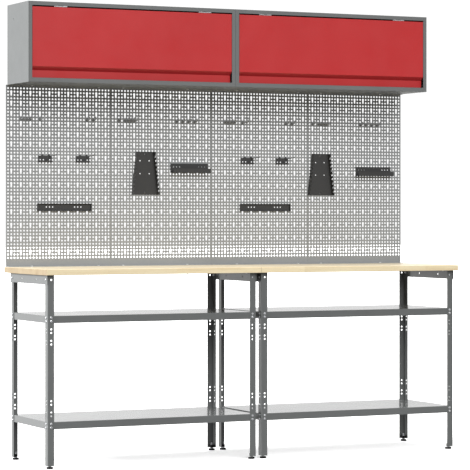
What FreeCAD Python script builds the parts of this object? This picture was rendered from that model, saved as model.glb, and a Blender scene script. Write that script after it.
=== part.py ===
import FreeCAD, Part
import math
import os
import re

import Sketcher

# Double workbench: two identical benches side by side, four perforated tool panels standing on
# the rear edges of their tops, and two flap-door cabinets carried on the panels.
# Frame: X to the right, Y to the rear, Z up. Origin on the floor under the centre of the bench.

doc = FreeCAD.newDocument("workbench")
sheet = doc.addObject("Spreadsheet::Sheet", "Sizes")

SIZES = {
    # bench tops
    "bench_pitch": 1007, "top_wide": 1006, "top_deep": 525, "top_thick": 25,
    "top_level": 845, "top_round": 2,
    # leg frames: angle-section legs, four to a bench
    "frame_wide": 981, "frame_deep": 444, "frame_front": 236, "gauge": 2,
    "leg_flange": 30, "leg_foot": 12.5, "bend_out": 3, "bend_in": 1,
    "hole_inset": 17, "hole_radius": 4, "pair_half": 7.6, "slot_step": 48.5,
    # side rails under the tops
    "rail_tall": 40, "rail_flange": 28, "rail_ahead": 2, "rail_behind": 4, "rail_hole_step": 120,
    "screw_inset": 16.8, "screw_hole_radius": 2.6, "screw_end": 60,
    # shelves
    "shelf_gap": 0.2, "shelf_tall": 31, "shelf_gauge": 1.5, "shelf_lip": 12, "shelf_round": 3,
    "shelf_edge_round": 1.4, "shelf_hole_radius": 3.4, "shelf_upper": 632, "shelf_lower": 183,
    # levelling feet and the plastic blocks that hold their studs
    "foot_inset": 15.5, "pad_radius": 14.3, "pad_thick": 8, "pad_bevel": 1, "stud_radius": 4,
    "stud_top": 35, "stud_bevel": 1, "stud_clear": 0.05, "block_wide": 20.5, "block_tall": 12,
    "block_gap": 0.3, "block_bevel": 2, "nut_radius": 6.8, "nut_thick": 3.4,
    # screws, bolts and nuts
    "bolt_radius": 3, "bolt_head_radius": 5.2, "bolt_head_tall": 3, "bolt_head_round": 1.6,
    "bolt_nut_radius": 5.8, "bolt_nut_tall": 4.4, "bolt_spare": 2.4, "thread_clear": 0.05,
    "screw_radius": 2.1, "screw_head_radius": 4.5, "screw_head_tall": 2.4, "screw_head_round": 1.2,
    # fixings of the panels, from the middle of a bench
    "bolt_out": 378.5, "screw_out": 60, "fixing_radius": 3.2, "bolt_tip": 9,
    # perforated panels
    "panel_pitch": 500, "panel_wide": 499.4, "panel_tall": 805, "panel_sheet": 1.5,
    "panel_hem": 3, "hem_wide": 4.5, "panel_margin": 10, "panel_base": 40, "hole_pitch": 15,
    "key_radius": 5.5, "key_slot_radius": 4, "base_flange": 24, "flange_inset": 2,
    # cabinets
    "cab_pitch": 992, "cab_wide": 991, "cab_tall": 350, "cab_deep": 264, "cab_gauge": 1.5,
    "jamb": 17, "head": 17.5, "sill": 19, "cab_round": 1.2, "back_inset": 1.5, "back_gap": 0.1,
    "wall_hole_out": 400, "wall_hole_low": 60, "wall_hole_high": 290, "wall_hole_radius": 4,
    "catch_out": 300, "catch_wide": 36, "catch_deep": 13, "catch_tall": 12, "catch_back": 21.5,
    # flap doors and their hinges
    "door_gap": 1.5, "door_back": 1, "door_gauge": 1.5, "door_top": 23.2, "grip_top": 281.5,
    "grip_low": 298, "door_low": 329.5, "grip_deep": 17, "door_return": 15, "door_round": 1,
    "pin_back": 3.5, "pin_drop": 18.1, "knuckle_radius": 2.3, "pin_radius": 1.2, "pin_clear": 0.05,
    "hinge_long": 60, "hinge_inset": 150, "hinge_middle": 19.6, "hinge_end_gap": 0.4,
    "strike_wide": 34, "strike_thick": 1.2, "strike_up": 2,
    # gas struts, seen from the hinge pin: rear pivot and door pivot
    "strut_back": 185, "strut_drop": 45, "strut_door_back": 22, "strut_door_drop": 60,
    "strut_inset": 30, "strut_pin_radius": 4, "tube_radius": 7.5, "rod_radius": 3,
    "tube_long": 112, "eye_radius": 7.5, "eye_thick": 7, "eye_gap": 0.4, "ear_thick": 2.5,
    "ear_tall": 24, "ear_past": 8, "ear_round": 7, "sole_wide": 24, "sole_thick": 2, "sole_tall": 40,
    "stud_hole_radius": 3.1, "collar_radius": 6.5, "pin_past": 1.5, "stub_long": 3,
    # tool holders on the panels
    "holder_gauge": 1.5, "holder_gap": 0.2, "peep_radius": 3,
    "rack_tall": 195, "rack_head": 86, "rack_foot": 130, "rack_flange": 28, "rack_pair_half": 22.5,
    "rack_hole_foot": 9, "rack_hole_low": 95.5, "rack_hole_high": 154, "rack_hole_head": 184,
    "notch_deep": 14, "notch_tall": 9, "notch_slope": 5, "notch_step": 19.6, "notch_first": 10,
    "tray_wide": 189, "tray_tall": 43, "tray_deep": 34, "tray_lip": 20, "tray_hole_level": 29,
    "bar_wide": 259, "bar_tall": 34, "bar_deep": 10, "bar_hole_level": 18.5,
    "clip_wide": 65, "clip_tall": 28, "clip_deep": 8, "clip_front": 6, "clip_hole_level": 9.5,
    "clip_hole_out": 9.5, "tab_wide": 13, "tab_tall": 7, "tab_first": 13, "tab_second": 44,
    "peg_radius": 1.6, "peg_reach": 85, "peg_climb": 4, "peg_rise": 5, "peg_out": 54, "peg_level": 25,
    "hook_plate_wide": 13, "hook_plate_tall": 17, "hook_plate_round": 3, "hook_radius": 2,
    "hook_rise": 14,
}
for line, (alias, size) in enumerate(SIZES.items(), 1):
    sheet.set(f"A{line}", alias)
    sheet.set(f"B{line}", str(size))
    sheet.setAlias(f"B{line}", alias)
doc.recompute()

SIDES = {"left": -1, "right": 1}
COLUMNS, ROWS = 33, 51
KEY_COLUMNS = range(1, COLUMNS, 3)
KEY_ROWS = [*range(1, 14, 3), *range(16, 50, 4)]
X_AXIS, Y_AXIS, Z_AXIS = FreeCAD.Vector(1, 0, 0), FreeCAD.Vector(0, 1, 0), FreeCAD.Vector(0, 0, 1)
pieces = []


def bound(text):
    """A size written with the sheet's aliases, as an expression for any object of the document."""
    return re.sub(r"[a-z]\w+", lambda word: "Sizes." + word.group(), str(text))


def value(text):
    """The present value of a size written with the sheet's aliases."""
    return float(sheet.evalExpression(bound(text)))


def point(x, y, z):
    return FreeCAD.Vector(value(x), value(y), value(z))


def place(piece, x="0", y="0", z="0", turn=0, axis=Z_AXIS):
    """Puts a sub-part at its place in the bench; the place follows the sheet."""
    piece.Placement = FreeCAD.Placement(point(x, y, z), FreeCAD.Rotation(axis, turn))
    for letter, text in (("x", x), ("y", y), ("z", z)):
        piece.setExpression(f"Placement.Base.{letter}", bound(text))
    pieces.append(piece)


def new_body(label):
    body = doc.addObject("PartDesign::Body", label)
    body.Label = label
    return body


def sketch_on(body, role, lift="0"):
    """A sketch on one of the body's origin planes, lifted along the plane's normal."""
    sketch = body.newObject("Sketcher::SketchObject", "sketch")
    origin_plane = next(item for item in body.Origin.OriginFeatures if item.Role == role)
    sketch.AttachmentSupport = [(origin_plane, "")]
    sketch.MapMode = "FlatFace"
    sketch.setExpression("AttachmentOffset.Base.z", bound(lift))
    return sketch


def fix(sketch, kind, geometry, vertex, size):
    """One dimension from the sketch's origin, driven by the sheet."""
    row = sketch.addConstraint(Sketcher.Constraint(kind, -1, 1, geometry, vertex, value(size)))
    sketch.setExpression(f"Constraints[{row}]", bound(size))


def polygon(sketch, corners):
    """A closed outline whose corners are pairs of sizes."""
    first = sketch.GeometryCount
    spots = [FreeCAD.Vector(value(x), value(y), 0) for x, y in corners]
    for start, end in zip(spots, spots[1:] + spots[:1]):
        sketch.addGeometry(Part.LineSegment(start, end), False)
    for step in range(len(spots)):
        follower = first + (step + 1) % len(spots)
        sketch.addConstraint(Sketcher.Constraint("Coincident", first + step, 2, follower, 1))
    for step, (x, y) in enumerate(corners):
        fix(sketch, "DistanceX", first + step, 1, x)
        fix(sketch, "DistanceY", first + step, 1, y)


def rectangle(sketch, x0, y0, x1, y1):
    polygon(sketch, [(x0, y0), (x1, y0), (x1, y1), (x0, y1)])


def circles(sketch, centres, radius):
    """Round holes of one radius, each centre a pair of sizes."""
    for x, y in centres:
        centre = FreeCAD.Vector(value(x), value(y), 0)
        row = sketch.addGeometry(Part.Circle(centre, Z_AXIS, value(radius)), False)
        fix(sketch, "DistanceX", row, 3, x)
        fix(sketch, "DistanceY", row, 3, y)
        size = sketch.addConstraint(Sketcher.Constraint("Radius", row, value(radius)))
        sketch.setExpression(f"Constraints[{size}]", bound(radius))


def pad(body, sketch, length, reverse=False):
    feature = body.newObject("PartDesign::Pad", "pad")
    feature.Profile = sketch
    feature.setExpression("Length", bound(length))
    feature.Reversed = reverse
    doc.recompute()
    return feature


def cut(body, sketch, depth):
    """A pocket that reaches the same depth on both sides of its sketch."""
    before = body.Shape.Volume
    feature = body.newObject("PartDesign::Pocket", "pocket")
    feature.Profile = sketch
    feature.Midplane = True
    feature.setExpression("Length", bound(f"2 * ({depth})"))
    doc.recompute()
    if body.Shape.Volume >= before - 1e-3:
        raise ValueError(f"a pocket of {body.Label} cuts nothing")


def round_edges(body, radius, spots):
    """Rounds each edge whose ends both lie at one of the spots; a spot names some coordinates."""
    base = body.Tip

    def chosen(edge):
        ends = [vertex.Point for vertex in edge.Vertexes]
        return any(all(abs(getattr(end, axis) - value(at)) < 0.01
                       for end in ends for axis, at in spot.items()) for spot in spots)

    names = [f"Edge{row}" for row, edge in enumerate(base.Shape.Edges, 1) if chosen(edge)]
    if not names:
        raise ValueError(f"no edge of {body.Label} to round")
    feature = body.newObject("PartDesign::Fillet", "fillet")
    feature.Base = (base, names)
    feature.setExpression("Radius", bound(radius))
    doc.recompute()


def bench_x(side, text="0"):
    """X of a size measured from the centre of one bench."""
    return f"{SIDES[side]} * bench_pitch / 2 + ({text})"


def box(x0, y0, z0, x1, y1, z1):
    """A plain block between two corners."""
    low, high = point(x0, y0, z0), point(x1, y1, z1)
    size = high - low
    return Part.makeBox(size.x, size.y, size.z, low)


def group(label, solids):
    """Identical small pieces that share one node."""
    feature = doc.addObject("Part::Feature", label)
    feature.Label = label
    feature.Shape = Part.makeCompound(solids)
    pieces.append(feature)


def hexagon(centre, axis, radius, thick):
    """A hexagon bar: the body of a nut or of a bolt's head."""
    corners = [FreeCAD.Vector(radius * math.cos(turn), radius * math.sin(turn), 0)
               for turn in (math.radians(60 * step) for step in range(7))]
    prism = Part.Face(Part.makePolygon(corners)).extrude(Z_AXIS * thick)
    prism.Placement = FreeCAD.Placement(centre, FreeCAD.Rotation(Z_AXIS, axis))
    return prism


def dome(at, axis, radius, tall, rounding):
    """A low round head that stands on a surface, its outer rim rounded. The axis points out of it."""
    head = Part.makeCylinder(radius, tall, at, axis)
    crown = at + axis * tall
    rim = [edge for edge in head.Edges if edge.CenterOfMass.distanceToPoint(crown) < 0.01]
    return head.makeFillet(rounding, rim)


def bolt(under_head, axis, grip, tip=0):
    """A dome-headed bolt and its nut, clamping a stack of the given grip. Returns two solids."""
    radius, nut_tall = value("bolt_radius"), value("bolt_nut_tall")
    head = dome(under_head, -axis, value("bolt_head_radius"), value("bolt_head_tall"),
                value("bolt_head_round"))
    shank = Part.makeCylinder(radius, grip + nut_tall + value("bolt_spare") + tip, under_head, axis)
    nut = hexagon(under_head + axis * grip, axis, value("bolt_nut_radius"), nut_tall)
    bore = Part.makeCylinder(radius + value("thread_clear"), nut_tall + 2,
                             under_head + axis * (grip - 1), axis)
    return [head.fuse(shank), nut.cut(bore)]


def screw(seat, axis, grip, head_radius):
    """A pan-head screw seated on a surface; the axis points out of its head."""
    head = dome(seat, axis, head_radius, value("screw_head_tall"), value("screw_head_round"))
    return head.fuse(Part.makeCylinder(value("screw_radius"), grip, seat, -axis))


# ---------------------------------------------------------------- benches

def worktop(side):
    body = new_body(f"worktop_{side}")
    outline = sketch_on(body, "XY_Plane")
    rectangle(outline, "-top_wide / 2", "-top_deep / 2", "top_wide / 2", "top_deep / 2")
    pad(body, outline, "top_thick")
    half = "top_deep / 2"
    wide = "top_wide / 2"
    round_edges(body, "top_round", [
        {"y": f"-{half}", "z": "top_thick"}, {"y": f"-{half}", "z": "0"},
        {"y": half, "z": "top_thick"}, {"x": f"-{wide}", "z": "top_thick"},
        {"x": wide, "z": "top_thick"}])
    holes = sketch_on(body, "XY_Plane")
    circles(holes, [(f"{sign} * bolt_out", BASE_BOLT_Y) for sign in (-1, 1)], "fixing_radius")
    cut(body, holes, "top_thick + 5")
    place(body, bench_x(side), "0", "top_level - top_thick")


def pair_levels():
    """Heights of the hole pairs in a leg: three for the upper shelf and three for the lower."""
    upper = [f"shelf_upper - {step} * slot_step" for step in range(3)]
    lower = [f"shelf_lower + {step} * slot_step" for step in range(3)]
    return upper + lower


def leg(side, row, column):
    """An angle-section leg. Its corner is at the body's origin, its flanges run along +X and +Y."""
    names = {-1: {"left": "outer", "right": "inner"}, 1: {"left": "inner", "right": "outer"}}
    body = new_body(f"leg_{side}_{row}_{names[column][side]}")
    section = sketch_on(body, "XY_Plane")
    polygon(section, [("0", "0"), ("leg_flange", "0"), ("leg_flange", "gauge"),
                      ("gauge", "gauge"), ("gauge", "leg_flange"), ("0", "leg_flange")])
    pad(body, section, "top_level - top_thick - gauge - leg_foot")
    round_edges(body, "bend_out", [{"x": "0", "y": "0"}])
    round_edges(body, "bend_in", [{"x": "gauge", "y": "gauge"}])
    top_hole = "top_level - top_thick - rail_tall / 2 - leg_foot"
    levels = [top_hole] + [f"{level} {sign} pair_half - leg_foot"
                           for level in pair_levels() for sign in "-+"]
    for role in ("XZ_Plane", "YZ_Plane"):
        holes = sketch_on(body, role)
        circles(holes, [("hole_inset", level) for level in levels], "hole_radius")
        cut(body, holes, "gauge + 1")
    turns = {("front", -1): 0, ("front", 1): 90, ("rear", 1): 180, ("rear", -1): 270}
    y = "-frame_front" if row == "front" else "frame_deep - frame_front"
    place(body, bench_x(side, f"{column} * frame_wide / 2"), y, "leg_foot", turns[row, column])


def side_rail(side, column):
    """An angle rail outside two legs: a web down their flanges and a flange under the top."""
    names = {-1: {"left": "outer", "right": "inner"}, 1: {"left": "inner", "right": "outer"}}
    body = new_body(f"side_rail_{side}_{names[column][side]}")
    section = sketch_on(body, "XZ_Plane")
    web, reach = ("-gauge", "rail_flange") if column < 0 else ("gauge", "-rail_flange")
    polygon(section, [(web, "0"), ("0", "0"), ("0", "rail_tall - gauge"),
                      (reach, "rail_tall - gauge"), (reach, "rail_tall"), (web, "rail_tall")])
    long = "frame_deep + rail_ahead + rail_behind"
    pad(body, section, long, reverse=True)
    round_edges(body, "bend_out", [{"x": web, "z": "rail_tall"}])
    round_edges(body, "bend_in", [{"x": "0", "z": "rail_tall - gauge"}])
    front, rear = "rail_ahead + hole_inset", "rail_ahead + frame_deep - hole_inset"
    holes = sketch_on(body, "YZ_Plane")
    spots = [front, f"{front} + rail_hole_step", f"{rear} - rail_hole_step", rear]
    circles(holes, [(spot, "rail_tall / 2") for spot in spots], "hole_radius")
    cut(body, holes, "gauge + 1")
    screws = sketch_on(body, "XY_Plane", "rail_tall")
    inset = "screw_inset" if column < 0 else "-screw_inset"
    circles(screws, [(inset, spot) for spot in rail_screw_ys()], "screw_hole_radius")
    cut(body, screws, "gauge + 1")
    place(body, bench_x(side, f"{column} * frame_wide / 2"), "-frame_front - rail_ahead",
          "top_level - top_thick - rail_tall")


def rail_screw_ys():
    """Where a rail is screwed to the top, measured along the rail."""
    return ["rail_ahead + screw_end", "rail_ahead + frame_deep / 2",
            "rail_ahead + frame_deep - screw_end"]


def shelf(side, tier):
    """A folded tray, face up, with bolt holes in its four edges and a lip turned in below."""
    body = new_body(f"{tier}_shelf_{side}")
    wide = "frame_wide / 2 - gauge - shelf_gap"
    deep = "frame_deep / 2 - gauge - shelf_gap"
    outline = sketch_on(body, "XY_Plane")
    rectangle(outline, f"-({wide})", f"-({deep})", wide, deep)
    pad(body, outline, "shelf_tall")
    round_edges(body, "shelf_round", [{"x": f"{a}({wide})", "y": f"{b}({deep})"}
                                      for a in ("", "-") for b in ("", "-")])
    round_edges(body, "shelf_edge_round", [{"y": f"-({deep})", "z": "shelf_tall"}])
    for inset, level, reach in (("shelf_gauge", "shelf_tall / 2", "shelf_tall / 2 - shelf_gauge"),
                                ("shelf_gauge + shelf_lip", "0", "shelf_gauge + 1")):
        hollow = sketch_on(body, "XY_Plane", level)
        rectangle(hollow, f"-({wide}) + {inset}", f"-({deep}) + {inset}",
                  f"{wide} - ({inset})", f"{deep} - ({inset})")
        cut(body, hollow, reach)
    across, along = "frame_wide / 2 - hole_inset", "frame_deep / 2 - hole_inset"
    for role, spread, depth in (("XZ_Plane", across, deep), ("YZ_Plane", along, wide)):
        holes = sketch_on(body, role)
        circles(holes, [(f"{a}({spread})", f"shelf_tall / 2 {b} pair_half")
                        for a in ("", "-") for b in "-+"], "shelf_hole_radius")
        cut(body, holes, f"{depth} + 2")
    place(body, bench_x(side), "frame_deep / 2 - frame_front", f"shelf_{tier} - shelf_tall / 2")


def foot_spots(side):
    """Centres of a bench's four feet, with the outward signs of their corner."""
    spots = []
    for row, y in ((-1, "-frame_front + foot_inset"), (1, "frame_deep - frame_front - foot_inset")):
        for column in (-1, 1):
            x = bench_x(side, f"{column} * (frame_wide / 2 - foot_inset)")
            spots.append((x, y, row, column))
    return spots


def foot(side, number, x, y):
    """A levelling foot turned in one piece: pad, neck, lock nut seat and stud."""
    body = new_body(f"foot_{side}_{number}")
    profile = sketch_on(body, "XZ_Plane")
    polygon(profile, [("0", "0"), ("pad_radius - pad_bevel", "0"), ("pad_radius", "pad_bevel"),
                      ("pad_radius", "pad_thick - pad_bevel"), ("pad_radius - pad_bevel", "pad_thick"),
                      ("nut_radius", "pad_thick"), ("nut_radius", "pad_thick + nut_thick"),
                      ("stud_radius", "pad_thick + nut_thick"),
                      ("stud_radius", "stud_top - stud_bevel"),
                      ("stud_radius - stud_bevel", "stud_top"), ("0", "stud_top")])
    turned = body.newObject("PartDesign::Revolution", "turned")
    turned.Profile = profile
    turned.ReferenceAxis = (profile, ["V_Axis"])
    turned.Angle = 360
    doc.recompute()
    place(body, x, y, "0")


def foot_blocks():
    """Plastic blocks inside the legs' lower ends, each bored for one stud."""
    solids = []
    for side in SIDES:
        for x, y, row, column in foot_spots(side):
            wide, inner = value("block_wide"), value("foot_inset - gauge - block_gap")
            centre = point(x, y, "leg_foot")
            xs = sorted([centre.x + column * inner, centre.x + column * (inner - wide)])
            ys = sorted([centre.y + row * inner, centre.y + row * (inner - wide)])
            block = Part.makeBox(wide, wide, value("block_tall"),
                                 FreeCAD.Vector(xs[0], ys[0], centre.z))
            uprights = [edge for edge in block.Edges if abs(edge.tangentAt(0).z) > 0.9]
            block = block.makeChamfer(value("block_bevel"), uprights)
            bore = Part.makeCylinder(value("stud_radius + stud_clear"), value("block_tall + 2"),
                                     centre - Z_AXIS, Z_AXIS)
            solids.append(block.cut(bore))
    group("foot_blocks", solids)


def frame_bolts():
    """Bolts and nuts through the legs: two per flange at each shelf, one to each side rail."""
    solids = []
    for side in SIDES:
        for row, y_face in ((1, "-frame_front"), (-1, "frame_deep - frame_front")):
            for column in (-1, 1):
                x_leg = bench_x(side, f"{column} * (frame_wide / 2 - hole_inset)")
                x_face = bench_x(side, f"{column} * frame_wide / 2")
                y_leg = f"{y_face} + {row} * hole_inset"
                stack = value("gauge + shelf_gauge + shelf_gap")
                for tier in ("shelf_upper", "shelf_lower"):
                    for sign in "-+":
                        level = f"{tier} {sign} pair_half"
                        solids += bolt(point(x_leg, y_face, level), Y_AXIS * row, stack)
                        solids += bolt(point(x_face, y_leg, level), X_AXIS * -column, stack)
                outside = f"{x_face} + {column} * gauge"
                level = "top_level - top_thick - rail_tall / 2"
                solids += bolt(point(outside, y_leg, level), X_AXIS * -column, value("2 * gauge"))
    group("frame_bolts", solids)


def worktop_screws():
    """Pan-head screws up through the side rails' flanges into the tops."""
    solids = []
    for side in SIDES:
        for column in (-1, 1):
            x = bench_x(side, f"{column} * (frame_wide / 2 - screw_inset)")
            for along in rail_screw_ys():
                seat = point(x, f"-frame_front - rail_ahead + {along}",
                             "top_level - top_thick - gauge")
                solids.append(screw(seat, -Z_AXIS, value("gauge"), value("screw_head_radius")))
    group("worktop_screws", solids)


# ---------------------------------------------------------------- perforated panels

PANEL_FACE = "top_deep / 2 - panel_sheet - panel_hem"
BASE_BOLT_Y = f"{PANEL_FACE} - base_flange / 2"


def panel_left(number):
    return f"({number} - 2) * panel_pitch"


def panel_point(number, column, row, ahead="0"):
    """A place on the face of a panel, in columns and rows of the perforation from the top left."""
    return point(f"{panel_left(number)} + panel_margin + {column} * hole_pitch",
                 f"{PANEL_FACE} - ({ahead})",
                 f"top_level + panel_base + ({ROWS - 1} - {row}) * hole_pitch")


def keyhole(centre, key, slot, pitch):
    """Outline of a keyhole: a round head with a narrower slot one pitch long below it."""
    half = math.asin(slot / key)
    right = FreeCAD.Vector(slot, 0, -key * math.cos(half))
    left = FreeCAD.Vector(-slot, 0, right.z)
    low_right, low_left = FreeCAD.Vector(slot, 0, -pitch), FreeCAD.Vector(-slot, 0, -pitch)
    crown, heel = FreeCAD.Vector(0, 0, key), FreeCAD.Vector(0, 0, -pitch - slot)
    edges = [Part.Arc(left, crown, right).toShape(), Part.makeLine(right, low_right),
             Part.Arc(low_right, heel, low_left).toShape(), Part.makeLine(low_left, left)]
    outline = Part.Wire(edges)
    outline.translate(centre)
    return outline


def pegboard(number):
    """A sheet hemmed all round, with mounting flanges folded forward at foot and head.

    The keyholes that tools hang from are cut as one face, far quicker than sketched outlines.
    The plain round holes between them, fourteen hundred to a panel, are not part of this model.
    """
    inset = "(panel_pitch - panel_wide) / 2"
    low = point(f"{panel_left(number)} + {inset}", PANEL_FACE, "top_level")
    wide, tall, sheet_thick = value("panel_wide"), value("panel_tall"), value("panel_sheet")
    corners = [low, low + X_AXIS * wide, low + X_AXIS * wide + Z_AXIS * tall, low + Z_AXIS * tall, low]
    key, slot, pitch = value("key_radius"), value("key_slot_radius"), value("hole_pitch")
    holes = [keyhole(panel_point(number, column, row), key, slot, pitch)
             for column in KEY_COLUMNS for row in KEY_ROWS]
    face = Part.Face([Part.makePolygon(corners)] + holes)
    punched = face.extrude(Y_AXIS * sheet_thick)
    rear = low + Y_AXIS * sheet_thick
    hem, deep = value("hem_wide"), value("panel_hem")
    outer = Part.makeBox(wide, deep, tall, rear)
    inner = Part.makeBox(wide - 2 * hem, deep, tall - 2 * hem, rear + FreeCAD.Vector(hem, 0, hem))
    panel = punched.fuse(outer.cut(inner))
    reach, narrower = value("base_flange"), value("flange_inset")
    flanges = []
    for level in (low.z, low.z + tall - sheet_thick):
        strip = Part.makeBox(wide - 2 * narrower, reach, sheet_thick,
                             FreeCAD.Vector(low.x + narrower, low.y - reach, level))
        for x in panel_fixings(number):
            bore = FreeCAD.Vector(x, low.y - reach / 2, level - 1)
            strip = strip.cut(Part.makeCylinder(value("fixing_radius"), sheet_thick + 2, bore, Z_AXIS))
        flanges.append(strip)
    feature = doc.addObject("Part::Feature", f"pegboard_{number + 1}")
    feature.Label = f"pegboard_{number + 1}"
    feature.Shape = Part.makeCompound([panel] + flanges)
    pieces.append(feature)


def panel_fixings(number):
    """X of a panel's two fixings: the through bolt near the bench's end and one near its centre."""
    side = "left" if number < 2 else "right"
    outward = -1 if number % 2 == 0 else 1
    return [value(bench_x(side, f"{outward} * {out}")) for out in ("bolt_out", "screw_out")]


def panel_bolts():
    """Fixings of the panels: bolts through the tops, short screws, and bolts to the cabinets."""
    solids = []
    for number in range(4):
        through, short = panel_fixings(number)
        y = value(BASE_BOLT_Y)
        foot_level = value("top_level + panel_sheet")
        head_level = value("top_level + panel_tall - panel_sheet")
        solids += bolt(FreeCAD.Vector(through, y, foot_level), -Z_AXIS,
                       value("top_thick + panel_sheet"), value("bolt_tip"))
        solids.append(screw(FreeCAD.Vector(short, y, foot_level), Z_AXIS, value("panel_sheet"),
                            value("bolt_head_radius")))
        for x in (through, short):
            solids += bolt(FreeCAD.Vector(x, y, head_level), Z_AXIS, value("panel_sheet + cab_gauge"))
    group("panel_fixings", solids)


# ---------------------------------------------------------------- cabinets

CAB_FRONT = "top_deep / 2 - cab_deep"
CAB_BASE = "top_level + panel_tall"
PIN_Y = f"{CAB_FRONT} + pin_back"
PIN_Z = f"{CAB_BASE} + cab_tall - pin_drop - knuckle_radius"


def cab_x(side, text="0"):
    """X of a size measured from the centre of one cabinet."""
    return f"{SIDES[side]} * cab_pitch / 2 + ({text})"


def cabinet_cover(side, part, level, flange, up):
    """The top or the bottom of a cabinet: a sheet with its front edge folded towards the door."""
    body = new_body(f"cabinet_{side}_{part}")
    section = sketch_on(body, "YZ_Plane")
    sign = "" if up else "-"
    polygon(section, [("0", "0"), ("cab_deep", "0"), ("cab_deep", f"{sign}cab_gauge"),
                      ("cab_gauge", f"{sign}cab_gauge"), ("cab_gauge", f"{sign}{flange}"),
                      ("0", f"{sign}{flange}")])
    pad(body, section, "cab_wide")
    round_edges(body, "cab_round", [{"y": "0", "z": "0"}])
    if up:
        y = f"({BASE_BOLT_Y}) - ({CAB_FRONT})"
        left = value(cab_x(side, "-cab_wide / 2"))
        spots = [x - left for number in range(4) for x in panel_fixings(number)
                 if (x < 0) == (side == "left")]
        holes = sketch_on(body, "XY_Plane")
        circles(holes, [(f"{spot:.3f}", y) for spot in spots], "fixing_radius")
        cut(body, holes, "cab_gauge + 1")
    place(body, cab_x(side, "-cab_wide / 2"), CAB_FRONT, level)


def cabinet_sides(side):
    """Left and right walls, each with its front edge folded in beside the door."""
    solids = []
    for column in (-1, 1):
        outer = value(cab_x(side, f"{column} * cab_wide / 2"))
        thick, deep = value("cab_gauge"), value("cab_deep")
        base, tall = value(f"{CAB_BASE} + cab_gauge"), value("cab_tall - 2 * cab_gauge")
        front = value(CAB_FRONT)
        wall_x = min(outer, outer - column * thick)
        wall = Part.makeBox(thick, deep, tall, FreeCAD.Vector(wall_x, front, base))
        jamb_x = min(outer, outer - column * value("jamb"))
        low, high = value(f"{CAB_BASE} + sill"), value(f"{CAB_BASE} + cab_tall - head")
        jamb = Part.makeBox(value("jamb"), thick, high - low, FreeCAD.Vector(jamb_x, front, low))
        notch_low = Part.makeBox(thick, thick, value("sill - cab_gauge"),
                                 FreeCAD.Vector(wall_x, front, base))
        notch_high = Part.makeBox(thick, thick, value("head - cab_gauge"),
                                  FreeCAD.Vector(wall_x, front, high))
        panel = wall.fuse(jamb).cut(notch_low).cut(notch_high).removeSplitter()
        stud = FreeCAD.Vector(outer, value(f"{PIN_Y} + strut_back"), value(f"{PIN_Z} - strut_drop"))
        hole = Part.makeCylinder(value("stud_hole_radius"), thick * 4,
                                 stud - X_AXIS * column * thick * 2, X_AXIS * column)
        solids.append(panel.cut(hole))
    group(f"cabinet_{side}_sides", solids)


def cabinet_back(side):
    """A flat sheet between the other walls, with four holes for screws into a wall."""
    body = new_body(f"cabinet_{side}_back")
    outline = sketch_on(body, "XZ_Plane")
    half = "cab_wide / 2 - cab_gauge - back_gap"
    rectangle(outline, f"-({half})", "0", half, "cab_tall - 2 * (cab_gauge + back_gap)")
    pad(body, outline, "cab_gauge")
    holes = sketch_on(body, "XZ_Plane")
    circles(holes, [(f"{column} * wall_hole_out", f"{level} - cab_gauge - back_gap")
                    for column in (-1, 1) for level in ("wall_hole_low", "wall_hole_high")],
            "wall_hole_radius")
    cut(body, holes, "cab_gauge + 1")
    place(body, cab_x(side), "top_deep / 2 - back_inset", f"{CAB_BASE} + cab_gauge + back_gap")


def cabinet_door(side):
    """A top-hung flap of folded sheet: face, grip recess along the foot, returns at top and ends."""
    body = new_body(f"cabinet_door_{side}")
    section = sketch_on(body, "YZ_Plane")
    thick = "door_gauge"
    slope = "door_gauge * 0.41"
    polygon(section, [
        ("0", "-door_top"), ("0", "-grip_top"), ("grip_deep", "-grip_low"),
        ("grip_deep", "-door_low"), (f"grip_deep + {thick}", "-door_low"),
        (f"grip_deep + {thick}", f"-grip_low + {slope}"), (thick, f"-grip_top + {slope}"),
        (thick, f"-door_top - {thick}"), ("door_return", f"-door_top - {thick}"),
        ("door_return", "-door_top")])
    pad(body, section, "cab_wide - 2 * jamb - 2 * door_gap")
    round_edges(body, "door_round", [{"y": "0", "z": "-door_top"}, {"y": "0", "z": "-grip_top"}])
    for left in (thick, "cab_wide - 2 * jamb - 2 * door_gap"):
        end = sketch_on(body, "YZ_Plane", left)
        rectangle(end, f"{thick} - 0.2", "-grip_top + 4", "door_return", f"-door_top - {thick} + 0.2")
        pad(body, end, thick, reverse=True)
    place(body, cab_x(side, "-cab_wide / 2 + jamb + door_gap"), f"{CAB_FRONT} + door_back",
          f"{CAB_BASE} + cab_tall")


def hinge_centres(side):
    return [f"{cab_x(side)} + {column} * (cab_wide / 2 - hinge_inset)" for column in (-1, 1)]


def knuckle(x_mid, start, end):
    """A rolled hinge knuckle between two distances from the hinge's middle."""
    at = point(f"{x_mid} + {start}", PIN_Y, PIN_Z)
    return Part.makeCylinder(value("knuckle_radius"), value(f"{end} - ({start})"), at, X_AXIS)


def hinge_rod(x_mid, radius):
    """A hinge pin, or the bore for one, as long as the whole hinge."""
    at = point(f"{x_mid} - hinge_long / 2", PIN_Y, PIN_Z)
    return Part.makeCylinder(value(radius), value("hinge_long"), at, X_AXIS)


def strut_stud(side, column):
    """A pin on a side wall, with a collar that holds the strut's eye off the wall."""
    wall = point(cab_x(side, f"{column} * (cab_wide / 2 - cab_gauge)"),
                 f"{PIN_Y} + strut_back", f"{PIN_Z} - strut_drop")
    reach = value("strut_inset - cab_gauge + eye_thick / 2 + pin_past")
    collar = value("strut_inset - cab_gauge - eye_thick / 2 - eye_gap")
    pin = Part.makeCylinder(value("strut_pin_radius"), reach, wall, X_AXIS * -column)
    return pin.fuse(Part.makeCylinder(value("collar_radius"), collar, wall, X_AXIS * -column))


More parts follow.
